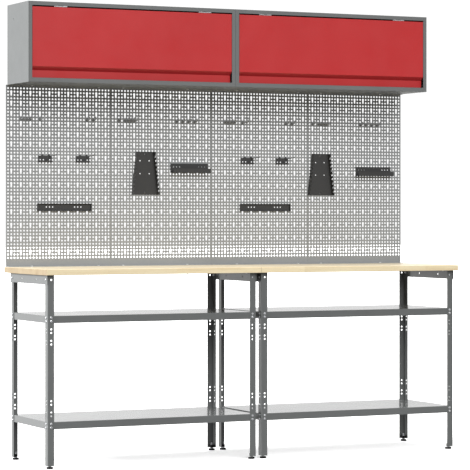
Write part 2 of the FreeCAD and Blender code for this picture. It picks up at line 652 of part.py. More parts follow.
def magnet_catch(side, column):
    x = cab_x(side, f"{column} * catch_out")
    catch = box(f"{x} - catch_wide / 2", f"{CAB_FRONT} + catch_back", f"{CAB_BASE} + cab_gauge",
                f"{x} + catch_wide / 2", f"{CAB_FRONT} + catch_back + catch_deep",
                f"{CAB_BASE} + cab_gauge + catch_tall")
    upper = [edge for edge in catch.Edges if edge.CenterOfMass.z > catch.BoundBox.ZMax - 0.1]
    return catch.makeFillet(value("cab_round"), upper)


def cabinet_hardware():
    """What is fixed inside the cabinets: hinge leaves with pins, strut studs and magnet catches."""
    solids = []
    half, middle = "hinge_long / 2", "hinge_middle / 2 + hinge_end_gap"
    for side in SIDES:
        for x_mid in hinge_centres(side):
            for start, end in ((f"-{half}", f"-({middle})"), (middle, half)):
                leaf = box(f"{x_mid} + {start}", f"{CAB_FRONT} + cab_gauge + 0.1", PIN_Z,
                           f"{x_mid} + {end}", f"{CAB_FRONT} + 2 * cab_gauge - 0.2",
                           f"{CAB_BASE} + cab_tall - cab_gauge - 1")
                rolled = leaf.fuse(knuckle(x_mid, start, end))
                solids.append(rolled.cut(hinge_rod(x_mid, "pin_radius + pin_clear")))
            solids.append(hinge_rod(x_mid, "pin_radius"))
        for column in (-1, 1):
            solids.append(strut_stud(side, column))
            solids.append(magnet_catch(side, column))
    group("cabinet_hardware", solids)


def door_bracket(side, column):
    """An ear on a sole plate inside the door, with the stub that the rod's eye turns on."""
    face = value(cab_x(side, f"{column} * (cab_wide / 2 - strut_inset - eye_thick / 2 - eye_gap)"))
    pivot = point("0", f"{PIN_Y} + strut_door_back", f"{PIN_Z} - strut_door_drop")
    skin = value(f"{CAB_FRONT} + door_back + door_gauge")
    ear_thick, ear_tall, sole_wide = value("ear_thick"), value("ear_tall"), value("sole_wide")
    corner = FreeCAD.Vector(min(face, face - column * ear_thick), skin, pivot.z - ear_tall / 2)
    ear = Part.makeBox(ear_thick, pivot.y + value("ear_past") - skin, ear_tall, corner)
    ear = ear.makeFillet(value("ear_round"), [edge for edge in ear.Edges if abs(edge.tangentAt(0).x) > 0.9
                                              and edge.CenterOfMass.y > pivot.y])
    corner = FreeCAD.Vector(min(face, face - column * sole_wide), skin, pivot.z - value("sole_tall / 2"))
    sole = Part.makeBox(sole_wide, value("sole_thick"), value("sole_tall"), corner)
    stub = Part.makeCylinder(value("strut_pin_radius"), value("stub_long"),
                             FreeCAD.Vector(face - column * ear_thick, pivot.y, pivot.z),
                             X_AXIS * -column)
    return ear.fuse([sole, stub]).removeSplitter()


def door_hardware(side):
    """What is fixed to a door: hinge leaves, strut brackets and the catch's strike plates."""
    solids = []
    door_head = f"{CAB_BASE} + cab_tall - door_top"
    half = "hinge_middle / 2"
    for x_mid in hinge_centres(side):
        leaf = box(f"{x_mid} - {half}", PIN_Y, door_head, f"{x_mid} + {half}",
                   f"{CAB_FRONT} + door_back + door_return - 0.5", f"{door_head} + strike_thick")
        rolled = leaf.fuse(knuckle(x_mid, f"-{half}", half))
        solids.append(rolled.cut(hinge_rod(x_mid, "pin_radius + pin_clear")).removeSplitter())
    recess = f"{CAB_FRONT} + door_back + grip_deep + door_gauge"
    low = f"{CAB_BASE} + cab_tall - door_low + strike_up"
    for column in (-1, 1):
        solids.append(door_bracket(side, column))
        x = cab_x(side, f"{column} * catch_out")
        solids.append(box(f"{x} - strike_wide / 2", recess, low, f"{x} + strike_wide / 2",
                          f"{recess} + strike_thick", f"{low} + catch_tall"))
    group(f"door_hardware_{side}", solids)


def strut_line():
    """Rear pivot, door pivot and the unit vector between them, in the plane of a strut."""
    rear = point("0", f"{PIN_Y} + strut_back", f"{PIN_Z} - strut_drop")
    door = point("0", f"{PIN_Y} + strut_door_back", f"{PIN_Z} - strut_door_drop")
    return rear, door, (door - rear).normalize()


def struts(side):
    """Gas struts: cylinders hung on the side walls' studs, and rods that slide out of them."""
    rear, door, along = strut_line()
    cylinders, rods = [], []
    rod_radius, tube_radius, tube_long = value("rod_radius"), value("tube_radius"), value("tube_long")
    eye_radius, eye_thick = value("eye_radius"), value("eye_thick")
    tube_start, neck_start, well_start, rod_start, nose_long = 14, 5, 25, 32, 4
    half = X_AXIS * (eye_thick / 2)
    for column in (-1, 1):
        shift = X_AXIS * value(cab_x(side, f"{column} * (cab_wide / 2 - strut_inset)"))
        foot_end, door_end = rear + shift, door + shift
        eye = Part.makeCylinder(eye_radius, eye_thick, foot_end - half, X_AXIS)
        neck = Part.makeCylinder(rod_radius, tube_start - neck_start + 2,
                                 foot_end + along * neck_start, along)
        tube = Part.makeCylinder(tube_radius, tube_long - tube_start,
                                 foot_end + along * tube_start, along)
        nose = Part.makeCylinder(tube_radius - 1.5, nose_long, foot_end + along * tube_long, along)
        pin = Part.makeCylinder(value("strut_pin_radius + pin_clear"), 2 * eye_thick,
                                foot_end - X_AXIS * eye_thick, X_AXIS)
        well = Part.makeCylinder(rod_radius + value("pin_clear"), tube_long + nose_long - well_start + 1,
                                 foot_end + along * well_start, along)
        cylinders.append(eye.fuse([tube, neck, nose]).cut(pin).cut(well))
        end_eye = Part.makeCylinder(eye_radius, eye_thick, door_end - half, X_AXIS)
        rod_long = (door - rear).Length - rod_start - rod_radius
        bar = Part.makeCylinder(rod_radius, rod_long, foot_end + along * rod_start, along)
        rods.append(end_eye.fuse(bar).removeSplitter())
    group(f"strut_cylinders_{side}", cylinders)
    group(f"strut_rods_{side}", rods)


# ---------------------------------------------------------------- tool holders

def hang(body, number, column, row):
    """Places a tool holder made from its lower left or lower middle point on the face of a panel."""
    at = panel_point(number, column, row)
    place(body, f"{at.x:.3f}", f"{PANEL_FACE} - holder_gap", f"{at.z:.3f}")


def spanner_rack(side, number, column, row):
    """A tapered plate whose side flanges fold forward, each with a row of slanted notches."""
    body = new_body(f"spanner_rack_{side}")
    plate = sketch_on(body, "XZ_Plane")
    polygon(plate, [("-rack_foot / 2", "0"), ("rack_foot / 2", "0"), ("rack_head / 2", "rack_tall"),
                    ("-rack_head / 2", "rack_tall")])
    pad(body, plate, "rack_flange")
    inside = sketch_on(body, "XZ_Plane", "holder_gauge")
    edge = "holder_gauge"
    polygon(inside, [(f"-rack_foot / 2 + {edge}", "-1"), (f"rack_foot / 2 - {edge}", "-1"),
                     (f"rack_head / 2 - {edge}", "rack_tall + 1"),
                     (f"-rack_head / 2 + {edge}", "rack_tall + 1")])
    hollow = body.newObject("PartDesign::Pocket", "pocket")
    hollow.Profile = inside
    hollow.Reversed = True
    hollow.setExpression("Length", bound("rack_flange + 5"))
    doc.recompute()
    notches = sketch_on(body, "YZ_Plane")
    mouth, root = "-rack_flange - 1", "-rack_flange + notch_deep"
    for step in range(9):
        low = f"notch_first + {step} * notch_step"
        polygon(notches, [(mouth, f"{low} + notch_slope"), (root, low), (root, f"{low} + notch_tall"),
                          (mouth, f"{low} + notch_tall + notch_slope")])
    cut(body, notches, "rack_foot")
    holes = sketch_on(body, "XZ_Plane")
    pairs = [(f"{sign}rack_pair_half", level) for level in ("rack_hole_low", "rack_hole_high")
             for sign in ("-", "")]
    circles(holes, pairs + [("0", "rack_hole_foot"), ("0", "rack_hole_head")], "peep_radius")
    cut(body, holes, "holder_gauge + 1")
    hang(body, number, column, row)


def tool_tray(side, number, column, row):
    """An open-ended channel that hangs on the panel: tall back, floor and a lower front lip."""
    body = new_body(f"tool_tray_{side}")
    section = sketch_on(body, "YZ_Plane")
    edge = "holder_gauge"
    polygon(section, [("0", "0"), ("-tray_deep", "0"), ("-tray_deep", "tray_lip"),
                      (f"-tray_deep + {edge}", "tray_lip"), (f"-tray_deep + {edge}", edge),
                      (f"-{edge}", edge), (f"-{edge}", "tray_tall"), ("0", "tray_tall")])
    pad(body, section, "tray_wide")
    round_edges(body, "shelf_edge_round", [{"y": "-tray_deep", "z": "0"}])
    holes = sketch_on(body, "XZ_Plane")
    insets = [f"{step} * hole_pitch + holder_gauge" for step in (1, 2, 3)]
    circles(holes, [(f"{start}{inset})", "tray_hole_level") for inset in insets
                    for start in ("(", "tray_wide - (")], "peep_radius")
    cut(body, holes, f"{edge} + 1")
    hang(body, number, column, row)


def bar_holder(side, number, column, row):
    """A long shallow channel, open to the front, with two runs of three holes in its web."""
    body = new_body(f"bar_holder_{side}")
    outline = sketch_on(body, "XZ_Plane")
    rectangle(outline, "0", "0", "bar_wide", "bar_tall")
    pad(body, outline, "bar_deep")
    inside = sketch_on(body, "XZ_Plane", "bar_deep")
    edge = "holder_gauge"
    rectangle(inside, edge, edge, f"bar_wide - {edge}", f"bar_tall - {edge}")
    cut(body, inside, f"bar_deep - {edge}")
    holes = sketch_on(body, "XZ_Plane")
    circles(holes, [(f"{step} * hole_pitch", "bar_hole_level") for step in (3, 4, 5, 12, 13, 14)],
            "peep_radius")
    cut(body, holes, f"{edge} + 1")
    round_edges(body, "holder_gauge * 2 / 3", [{"y": "-bar_deep", "z": "0"},
                                               {"y": "-bar_deep", "z": "bar_tall"}])
    hang(body, number, column, row)


def small_holder(at):
    """A short holder: plate, floor and low front lip, two tabs on its top edge and one long peg."""
    wide, tall, deep, thick = (value(size) for size in
                               ("clip_wide", "clip_tall", "clip_deep", "holder_gauge"))
    plate = Part.makeBox(wide, thick, tall, at - Y_AXIS * thick)
    floor = Part.makeBox(wide, deep, thick, at - Y_AXIS * deep)
    front = Part.makeBox(wide, thick, value("clip_front"), at - Y_AXIS * deep)
    tab_wide, tab_tall = value("tab_wide"), value("tab_tall")
    tabs = []
    for offset in (value("tab_first"), value("tab_second")):
        low = at + FreeCAD.Vector(offset, 0, tall - thick / 2)
        outline = [low, low + X_AXIS * tab_wide, low + FreeCAD.Vector(tab_wide * 0.7, 0, tab_tall),
                   low + FreeCAD.Vector(tab_wide * 0.4, 0, tab_tall), low]
        tabs.append(Part.Face(Part.makePolygon(outline)).extrude(Y_AXIS * -thick))
    start = at + FreeCAD.Vector(value("peg_out"), -thick / 2, value("peg_level"))
    reach = start - Y_AXIS * value("peg_reach") + Z_AXIS * value("peg_climb")
    peg = rod([start, reach, reach + Z_AXIS * value("peg_rise")], value("peg_radius"))
    holder = plate.fuse([floor, front, peg] + tabs)
    for step in (0, 1, 3):
        spot = at + point(f"clip_hole_out + {step} * hole_pitch", "1", "clip_hole_level")
        holder = holder.cut(Part.makeCylinder(value("peep_radius"), thick + 2, spot, -Y_AXIS))
    return holder.removeSplitter()


def small_holders():
    solids = [small_holder(panel_point(number, column, 21.63, "holder_gap"))
              for number in (0, 2) for column in (9.4, 21.4)]
    group("small_holders", solids)


def rod(points, radius):
    """A round bar bent through a list of points, with a tangent arc at each corner."""
    edges, start = [], points[0]
    for before, corner, after in zip(points, points[1:], points[2:]):
        back, ahead = (before - corner).normalize(), (after - corner).normalize()
        reach = min((before - corner).Length, (after - corner).Length) * 0.45
        mid_direction = (back + ahead).normalize()
        half = back.getAngle(ahead) / 2
        bend = reach * math.tan(half)
        centre = corner + mid_direction * (bend / math.sin(half))
        arc_in, arc_out = corner + back * reach, corner + ahead * reach
        edges.append(Part.makeLine(start, arc_in))
        edges.append(Part.Arc(arc_in, centre - mid_direction * bend, arc_out).toShape())
        start = arc_out
    edges.append(Part.makeLine(start, points[-1]))
    path = Part.Wire(edges)
    circle = Part.Wire(Part.makeCircle(radius, points[0], points[1] - points[0]))
    return path.makePipeShell([circle], True, True)


def hook(at, reach):
    """A tool hook: a small plate against the panel and a bar that turns up at its end."""
    wide, tall, thick = value("hook_plate_wide"), value("hook_plate_tall"), value("holder_gauge")
    plate = Part.makeBox(wide, thick, tall, at - FreeCAD.Vector(wide / 2, thick, tall / 2))
    corners = [edge for edge in plate.Edges if abs(edge.tangentAt(0).y) > 0.9]
    plate = plate.makeFillet(value("hook_plate_round"), corners)
    end = at - Y_AXIS * reach
    bar = rod([at - Y_AXIS, end, end + Z_AXIS * value("hook_rise")], value("hook_radius"))
    return plate.fuse(bar)


def panel_hooks():
    """Hooks along the tenth row of each panel, single and in short runs: column and reach."""
    left_run = [(4, 25), (5, 25), (6, 25), (7, 25), (10, 60), (25, 30), (27, 30)]
    runs = {0: left_run, 2: left_run,
            1: [(2, 25), (4, 40), (5, 40), (6, 40), (7, 40), (21, 25), (23, 25), (25, 30), (27, 30)],
            3: [(1, 25), (3, 40), (4, 40), (5, 40), (6, 40), (18, 25), (20, 25), (22, 30), (24, 30)]}
    solids = [hook(panel_point(number, column, 9, "holder_gap"), reach)
              for number, run in runs.items() for column, reach in run]
    group("panel_hooks", solids)


# ---------------------------------------------------------------- the whole

def build():
    for side in SIDES:
        worktop(side)
        for row in ("front", "rear"):
            for column in (-1, 1):
                leg(side, row, column)
        for column in (-1, 1):
            side_rail(side, column)
        for tier in ("upper", "lower"):
            shelf(side, tier)
        for number, (x, y, _, _) in enumerate(foot_spots(side), 1):
            foot(side, number, x, y)
        cabinet_cover(side, "top", f"{CAB_BASE} + cab_tall", "head", up=False)
        cabinet_cover(side, "bottom", CAB_BASE, "sill", up=True)
        cabinet_sides(side)
        cabinet_back(side)
        cabinet_door(side)
        door_hardware(side)
        struts(side)
    foot_blocks()
    frame_bolts()
    worktop_screws()
    for number in range(4):
        pegboard(number)
    panel_bolts()
    cabinet_hardware()
    spanner_rack("left", 1, 10.38, 31.25)
    spanner_rack("right", 3, 3.58, 31.25)
    tool_tray("left", 1, 18.9, 24.6)
    tool_tray("right", 3, 16.3, 25.1)
    bar_holder("left", 0, 9.0, 36.23)
    bar_holder("right", 2, 9.0, 36.23)
    small_holders()
    panel_hooks()


def check_and_write():
    """Refuses a failed feature or a bad shape, then writes each sub-part to its own file."""
    doc.recompute()
    for item in doc.Objects:
        if "Invalid" in item.State or "Error" in item.State:
            raise ValueError(f"{item.Label} failed: {item.State}")
    for piece in pieces:
        if piece.Shape.isNull() or not piece.Shape.isValid():
            raise ValueError(f"{piece.Label} has a bad shape")
    os.makedirs("parts", exist_ok=True)
    for piece in pieces:
        piece.Shape.exportStep(f"parts/{piece.Label}.step")
        print(f"{piece.Label:28s} {len(piece.Shape.Solids):4d} {piece.Shape.Volume / 1000:10.1f} cm3")
    print(len(pieces), "files")


build()
check_and_write()
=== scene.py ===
import math

import bmesh
import bpy
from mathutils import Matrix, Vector


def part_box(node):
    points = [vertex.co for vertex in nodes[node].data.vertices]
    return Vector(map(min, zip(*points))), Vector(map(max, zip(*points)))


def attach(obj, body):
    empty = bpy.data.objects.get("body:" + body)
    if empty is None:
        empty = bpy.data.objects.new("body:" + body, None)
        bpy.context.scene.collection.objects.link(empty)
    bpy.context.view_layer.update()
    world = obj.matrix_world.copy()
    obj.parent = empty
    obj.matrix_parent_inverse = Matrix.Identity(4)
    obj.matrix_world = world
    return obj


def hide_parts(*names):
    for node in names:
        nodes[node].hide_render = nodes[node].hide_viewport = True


# The looks of a double workbench: painted steel, lacquered wood, plated hardware and its small
# screws and feet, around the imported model. Metres, +X right, +Y to the rear, +Z up.

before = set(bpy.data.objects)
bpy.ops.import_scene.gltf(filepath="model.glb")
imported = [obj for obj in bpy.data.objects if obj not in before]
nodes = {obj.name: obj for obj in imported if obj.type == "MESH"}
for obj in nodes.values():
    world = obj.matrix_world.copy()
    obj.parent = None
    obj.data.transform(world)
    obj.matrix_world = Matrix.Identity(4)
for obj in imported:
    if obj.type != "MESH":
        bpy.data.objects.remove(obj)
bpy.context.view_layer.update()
SIDES = ("left", "right")


# ---------------------------------------------------------------- materials

# The Mix node's sockets for colours: its factor, its two colours and its result.
MIX_FACTOR, MIX_FIRST, MIX_SECOND, MIX_RESULT = 0, 6, 7, 2
COAT_ROUGHNESS = 0.12


class Surface:
    """A material under construction: a principled shader and short ways to add nodes to it."""

    def __init__(self, name, colour, metallic=0.0, roughness=0.5, coat=0.0, specular=0.5):
        self.material = bpy.data.materials.new(name)
        self.material.use_nodes = True
        self.tree = self.material.node_tree
        self.shader = self.tree.nodes["Principled BSDF"]
        self.colour = (*colour, 1.0)
        self.shader.inputs["Base Color"].default_value = self.colour
        self.shader.inputs["Metallic"].default_value = metallic
        self.shader.inputs["Roughness"].default_value = roughness
        self.shader.inputs["Specular IOR Level"].default_value = specular
        self.shader.inputs["Coat Weight"].default_value = coat
        self.shader.inputs["Coat Roughness"].default_value = COAT_ROUGHNESS
        coordinates = self.add("ShaderNodeTexCoord").outputs
        self.place, self.normal = coordinates["Object"], coordinates["Normal"]

    def add(self, kind, **settings):
        """A node; each setting names a property or an input, and a socket as value is linked."""
        node = self.tree.nodes.new(kind)
        for name, setting in settings.items():
            socket = node.inputs.get(name.replace("_", " ").title())
            if socket is None:
                setattr(node, name, setting)
            elif isinstance(setting, bpy.types.NodeSocket):
                self.tree.links.new(setting, socket)
            else:
                socket.default_value = setting
        return node

    def link(self, output, socket_name):
        self.tree.links.new(output, self.shader.inputs[socket_name])

    def stretched(self, x=1.0, y=1.0, z=1.0):
        """The place on the object, scaled along each axis before a texture reads it."""
        return self.add("ShaderNodeMapping", vector=self.place, scale=(x, y, z)).outputs[0]

    def noise(self, scale, detail=3.0, roughness=0.5, vector=None):
        """Even cloudy noise, from 0 to 1. The scale is in waves per metre."""
        return self.add("ShaderNodeTexNoise", vector=vector or self.place, scale=scale,
                        detail=detail, roughness=roughness).outputs["Fac"]

    def ramp(self, factor, stops):
        """A colour ramp; each stop is a position and a colour."""
        node = self.add("ShaderNodeValToRGB")
        self.tree.links.new(factor, node.inputs[0])
        elements = node.color_ramp.elements
        while len(elements) < len(stops):
            elements.new(0.5)
        for element, (position, colour) in zip(elements, stops):
            element.position = position
            element.color = (*colour, 1.0)
        return node.outputs["Color"]

    def spread(self, factor, low, high):
        """The factor's middle range turned into numbers from low to high."""
        node = self.add("ShaderNodeMapRange")
        self.tree.links.new(factor, node.inputs["Value"])
        for name, number in (("From Min", 0.3), ("From Max", 0.7), ("To Min", low), ("To Max", high)):
            node.inputs[name].default_value = number
        return node.outputs["Result"]

    def maths(self, operation, first, second=0.0):
        """One sum on numbers or sockets."""
        node = self.add("ShaderNodeMath", operation=operation)
        for socket, number in zip(node.inputs, (first, second)):
            if isinstance(number, bpy.types.NodeSocket):
                self.tree.links.new(number, socket)
            else:
                socket.default_value = number
        return node.outputs[0]

    def blend(self, factor, first, second, mode="MIX"):
        """Two colours mixed by a factor; each may be a colour or a socket."""
        node = self.add("ShaderNodeMix", data_type="RGBA", blend_type=mode)
        sockets = [node.inputs[row] for row in (MIX_FACTOR, MIX_FIRST, MIX_SECOND)]
        for socket, given in zip(sockets, (factor, first, second)):
            if isinstance(given, bpy.types.NodeSocket):
                self.tree.links.new(given, socket)
            elif isinstance(given, tuple):
                socket.default_value = (*given[:3], 1.0)
            else:
                socket.default_value = given
        return node.outputs[MIX_RESULT]

    def bump(self, height, strength, distance):
        """A height turned into a bump of the given depth in metres."""
        node = self.add("ShaderNodeBump")
        node.inputs["Strength"].default_value = strength
        node.inputs["Distance"].default_value = distance
        self.tree.links.new(height, node.inputs["Height"])
        self.link(node.outputs["Normal"], "Normal")


def shade(colour, factor):
    """A colour made darker or lighter."""
    return tuple(min(1.0, channel * factor) for channel in colour)


def powder_coat(name, colour, roughness=0.42, texture=0.25, drift=0.06, coat=0.0):
    """Baked powder paint: an orange-peel skin, faint drifts of tone and a trace of handling."""
    surface = Surface(name, colour, roughness=roughness, coat=coat)
    drifts = surface.noise(2.2, detail=4.0)
    speckle = surface.noise(420.0, detail=2.0)
    tone = surface.ramp(drifts, [(0.3, shade(colour, 1 - drift)), (0.7, shade(colour, 1 + drift))])
    grain = surface.ramp(speckle, [(0.35, (0.93, 0.93, 0.93)), (0.65, (1.0, 1.0, 1.0))])
    surface.link(surface.blend(1.0, tone, grain, "MULTIPLY"), "Base Color")
    smears = surface.noise(9.0, detail=6.0, roughness=0.65)
    surface.link(surface.spread(smears, roughness - 0.05, roughness + 0.07), "Roughness")
    peel = surface.noise(650.0, detail=2.0, roughness=0.6)
    surface.bump(peel, texture, 0.0004)
    return surface.material


def lacquered_wood(name):
    """Jointed hardwood staves along the bench, each with its own tone, under clear lacquer."""
    light, middle, dark = (0.84, 0.73, 0.50), (0.79, 0.66, 0.43), (0.70, 0.55, 0.33)
    pale_stave, deep_stave = (1.03, 1.03, 1.02), (0.94, 0.925, 0.90)
    sawn_end = (0.42, 0.375, 0.32)
    stave_wide, stave_long, grain_jitter = 0.042, 0.62, 3.0
    surface = Surface(name, middle, roughness=0.34, coat=0.35)
    parts = surface.add("ShaderNodeSeparateXYZ", vector=surface.place).outputs
    row = surface.maths("FLOOR", surface.maths("DIVIDE", parts["Y"], stave_wide))
    shift = surface.add("ShaderNodeTexWhiteNoise", noise_dimensions="1D", w=row).outputs["Value"]
    along = surface.maths("ADD", surface.maths("DIVIDE", parts["X"], stave_long), shift)
    column = surface.maths("FLOOR", along)
    cell = surface.add("ShaderNodeCombineXYZ", x=row, y=column).outputs[0]
    stave = surface.add("ShaderNodeTexWhiteNoise", vector=cell)
    jitter = surface.add("ShaderNodeVectorMath", operation="SCALE")
    surface.tree.links.new(stave.outputs["Color"], jitter.inputs[0])
    jitter.inputs["Scale"].default_value = grain_jitter
    grain_place = surface.add("ShaderNodeVectorMath", operation="ADD")
    surface.tree.links.new(surface.stretched(1.6, 22.0, 22.0), grain_place.inputs[0])
    surface.tree.links.new(jitter.outputs[0], grain_place.inputs[1])
    rings = surface.noise(1.6, detail=5.0, roughness=0.62, vector=grain_place.outputs[0])
    figure = surface.ramp(rings, [(0.28, dark), (0.46, middle), (0.66, light)])
    pores = surface.noise(1.0, detail=2.0, vector=surface.stretched(60.0, 1500.0, 1500.0))
    flecks = surface.ramp(pores, [(0.30, (0.80, 0.76, 0.70)), (0.42, (1.0, 1.0, 1.0))])
    tint = surface.ramp(stave.outputs["Value"], [(0.0, deep_stave), (1.0, pale_stave)])
    toned = surface.blend(1.0, figure, tint, "MULTIPLY")
    long_grain = surface.blend(0.8, toned, flecks, "MULTIPLY")
    end_grain = surface.blend(1.0, long_grain, sawn_end, "MULTIPLY")
    facing = surface.add("ShaderNodeSeparateXYZ", vector=surface.normal).outputs["X"]
    on_end = surface.maths("GREATER_THAN", surface.maths("ABSOLUTE", facing), 0.8)
    surface.link(surface.blend(on_end, long_grain, end_grain), "Base Color")
    surface.link(surface.spread(surface.noise(14.0, detail=5.0), 0.28, 0.42), "Roughness")
    surface.bump(surface.blend(0.5, rings, pores), 0.06, 0.0006)
    return surface.material


def plated_steel(name, colour=(0.72, 0.73, 0.75), roughness=0.3):
    """Bright zinc plate: a metal with cloudy passivation and fine drawing marks."""
    surface = Surface(name, colour, metallic=1.0, roughness=roughness)
    clouds = surface.noise(160.0, detail=4.0)
    surface.link(surface.ramp(clouds, [(0.3, shade(colour, 0.86)), (0.7, shade(colour, 1.08))]),
                 "Base Color")
    surface.link(surface.spread(surface.noise(700.0, detail=3.0), roughness - 0.08, roughness + 0.14),
                 "Roughness")
    surface.bump(surface.noise(1800.0, detail=2.0), 0.08, 0.0002)
    return surface.material


def moulded_plastic(name, colour):
    """Black moulded plastic with a spark-eroded grain."""
    surface = Surface(name, colour, roughness=0.55, specular=0.2)
    grain = surface.noise(1400.0, detail=3.0, roughness=0.7)
    surface.link(surface.ramp(surface.noise(60.0), [(0.3, shade(colour, 0.8)), (0.7, shade(colour, 1.35))]),
                 "Base Color")
    surface.link(surface.spread(grain, 0.48, 0.68), "Roughness")
    surface.bump(grain, 0.3, 0.0003)
    return surface.material


STEEL_GREY = powder_coat("bench_grey", (0.118, 0.124, 0.123), coat=0.9)
PANEL_GREY = powder_coat("panel_grey", (0.262, 0.271, 0.274), roughness=0.45)
CABINET_GREY = powder_coat("cabinet_grey", (0.145, 0.151, 0.151))
DOOR_RED = powder_coat("door_red", (0.500, 0.022, 0.024), roughness=0.36, drift=0.04)
HOLDER_BLACK = powder_coat("holder_black", (0.030, 0.030, 0.030), roughness=0.50)
HOOK_GREY = powder_coat("hook_grey", (0.215, 0.220, 0.222), roughness=0.45)
STRUT_BLACK = powder_coat("strut_black", (0.012, 0.012, 0.013), roughness=0.28, texture=0.1)
WOOD = lacquered_wood("worktop_wood")
ZINC = plated_steel("zinc_plate")
CHROME = plated_steel("rod_chrome", (0.80, 0.80, 0.82), roughness=0.16)
BLACK_OXIDE = plated_steel("black_oxide", (0.16, 0.16, 0.165), roughness=0.42)
PLASTIC = moulded_plastic("black_plastic", (0.008, 0.008, 0.008))

FINISHES = [
    ("worktop_screws", ZINC), ("worktop_", WOOD), ("leg_", STEEL_GREY), ("side_rail_", STEEL_GREY),
    ("upper_shelf_", STEEL_GREY), ("lower_shelf_", STEEL_GREY), ("foot_blocks", PLASTIC),
    ("frame_bolts", ZINC), ("pegboard_", PANEL_GREY), ("panel_fixings", ZINC),
    ("cabinet_door_", DOOR_RED), ("cabinet_hardware", ZINC), ("cabinet_", CABINET_GREY),
    ("door_hardware_", ZINC), ("strut_cylinders_", STRUT_BLACK), ("strut_rods_", CHROME),
    ("spanner_rack_", HOLDER_BLACK), ("tool_tray_", HOLDER_BLACK), ("bar_holder_", HOLDER_BLACK),
    ("small_holders", HOLDER_BLACK), ("panel_hooks", HOOK_GREY), ("foot_", PLASTIC),
]


def finish_nodes():
    """Gives each CAD node the first finish whose prefix fits its name."""
    for name, node in nodes.items():
        material = next(finish for prefix, finish in FINISHES if name.startswith(prefix))
        node.data.materials.clear()
        node.data.materials.append(material)


# ---------------------------------------------------------------- small pieces

# Levelling feet: the pad, the nut on it and the metric thread of the stud.
PAD_TALL, PAD_DISH, NUT_LEVEL, NUT_TOP = 0.0080, 0.0006, 0.0078, 0.0114
NUT_ACROSS, NUT_CHAMFER = 0.0117, 0.0005
STUD_RADIUS, THREAD_PITCH, THREAD_DEPTH = 0.0040, 0.00125, 0.00058
STUD_TAPER_LONG, STUD_TAPER_DEEP, STUD_BURIED = 0.0012, 0.0007, 0.001
# Spanner racks: the sheet, and the levels of their two screws.
RACK_GAUGE, RACK_SCREW_LEVELS, RACK_SCREW_RADIUS = 0.0015, (0.009, 0.184), 0.0042


def rings_to_object(name, rings, material, smooth_angle=35):
    """A closed turned form: each ring is a list of points, and the first and last are capped."""
    mesh = bmesh.new()
    rows = [[mesh.verts.new(spot) for spot in ring] for ring in rings]
    for lower, upper in zip(rows, rows[1:]):
        count = len(lower)
        for step in range(count):
            follower = (step + 1) % count
            mesh.faces.new((lower[step], lower[follower], upper[follower], upper[step]))
    mesh.faces.new(list(reversed(rows[0])))
    mesh.faces.new(rows[-1])
    data = bpy.data.meshes.new(name)
    bmesh.ops.recalc_face_normals(mesh, faces=mesh.faces)
    for face in mesh.faces:
        face.smooth = True
    for edge in mesh.edges:
        edge.smooth = edge.is_manifold and edge.calc_face_angle(0.0) < math.radians(smooth_angle)
    mesh.to_mesh(data)
    mesh.free()
    data.materials.append(material)
    piece = bpy.data.objects.new(name, data)
    bpy.context.scene.collection.objects.link(piece)
    return piece


def plain_round(turn):
    """The shape of a ring with no ribs or flats."""
    return 1.0


def ring(radius, level, count, shape=plain_round):
    """Points round the Z axis; the shape scales the radius with the angle."""
    turns = [2 * math.pi * step / count for step in range(count)]
    return [Vector((radius * shape(turn) * math.cos(turn), radius * shape(turn) * math.sin(turn), level))
            for turn in turns]


def hexagonal(turn):
    """How far a hexagon's side stands from its centre, over its distance across flats / 2."""
    sector = math.radians(60)
    return 1.0 / math.cos((turn + sector / 2) % sector - sector / 2)


def settle(piece, place, body, toward=(0, 0, 1)):
    """Puts a piece made about Z at its place, turned toward an axis, and joins it to a body."""
    piece.location = place
    piece.rotation_mode = "QUATERNION"
    piece.rotation_quaternion = Vector(toward).to_track_quat("Z", "Y")
    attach(piece, body)
    return piece


def ribbed_skirt(turn, ribs=36, depth=0.012):
    """Shallow vertical ribs round a foot, for a grip on its skirt."""
    return 1.0 - depth * (0.5 + 0.5 * math.cos(ribs * turn))


def foot_pad(name, outer):
    """A moulded foot: a ribbed skirt with rounded rims, dished a little towards the stud."""
    top = PAD_TALL
    lower_rim = [(outer - 0.0012, 0.0, plain_round), (outer - 0.0003, 0.0005, ribbed_skirt),
                 (outer, 0.0014, ribbed_skirt)]
    upper_rim = [(outer, top - 0.0016, ribbed_skirt), (outer - 0.0003, top - 0.0007, ribbed_skirt),
                 (outer - 0.0012, top - 0.0001, plain_round)]
    crown = [(outer - 0.0030, top, plain_round), (outer - 0.0058, top - PAD_DISH, plain_round),
             (outer - 0.0073, top - PAD_DISH / 3, plain_round)]
    rings = [ring(radius, level, 96, shape) for radius, level, shape in lower_rim + upper_rim + crown]
    return rings_to_object(name, rings, PLASTIC)


def threaded_stud(name, low, high):
    """A stud with a real helical thread, tapered off at its upper end."""
    rings_per_pitch, count = 8, 24
    rows = int((high - low) / THREAD_PITCH * rings_per_pitch)
    rings = []
    for row in range(rows + 1):
        level = low + (high - low) * row / rows
        taper = min(1.0, (high - level) / STUD_TAPER_LONG)
        spots = []
        for step in range(count):
            turn = 2 * math.pi * step / count
            phase = (level / THREAD_PITCH - step / count) % 1.0
            groove = THREAD_DEPTH * (1 - abs(2 * phase - 1)) + STUD_TAPER_DEEP * (1 - taper)
            across = STUD_RADIUS - groove
            spots.append(Vector((across * math.cos(turn), across * math.sin(turn), level)))
        rings.append(spots)
    return rings_to_object(name, rings, ZINC, smooth_angle=50)


def chamfered_hexagonal(turn, widest=1.05):
    """A hexagon whose corners are cut back, for the faces of a nut."""
    return min(hexagonal(turn), widest)


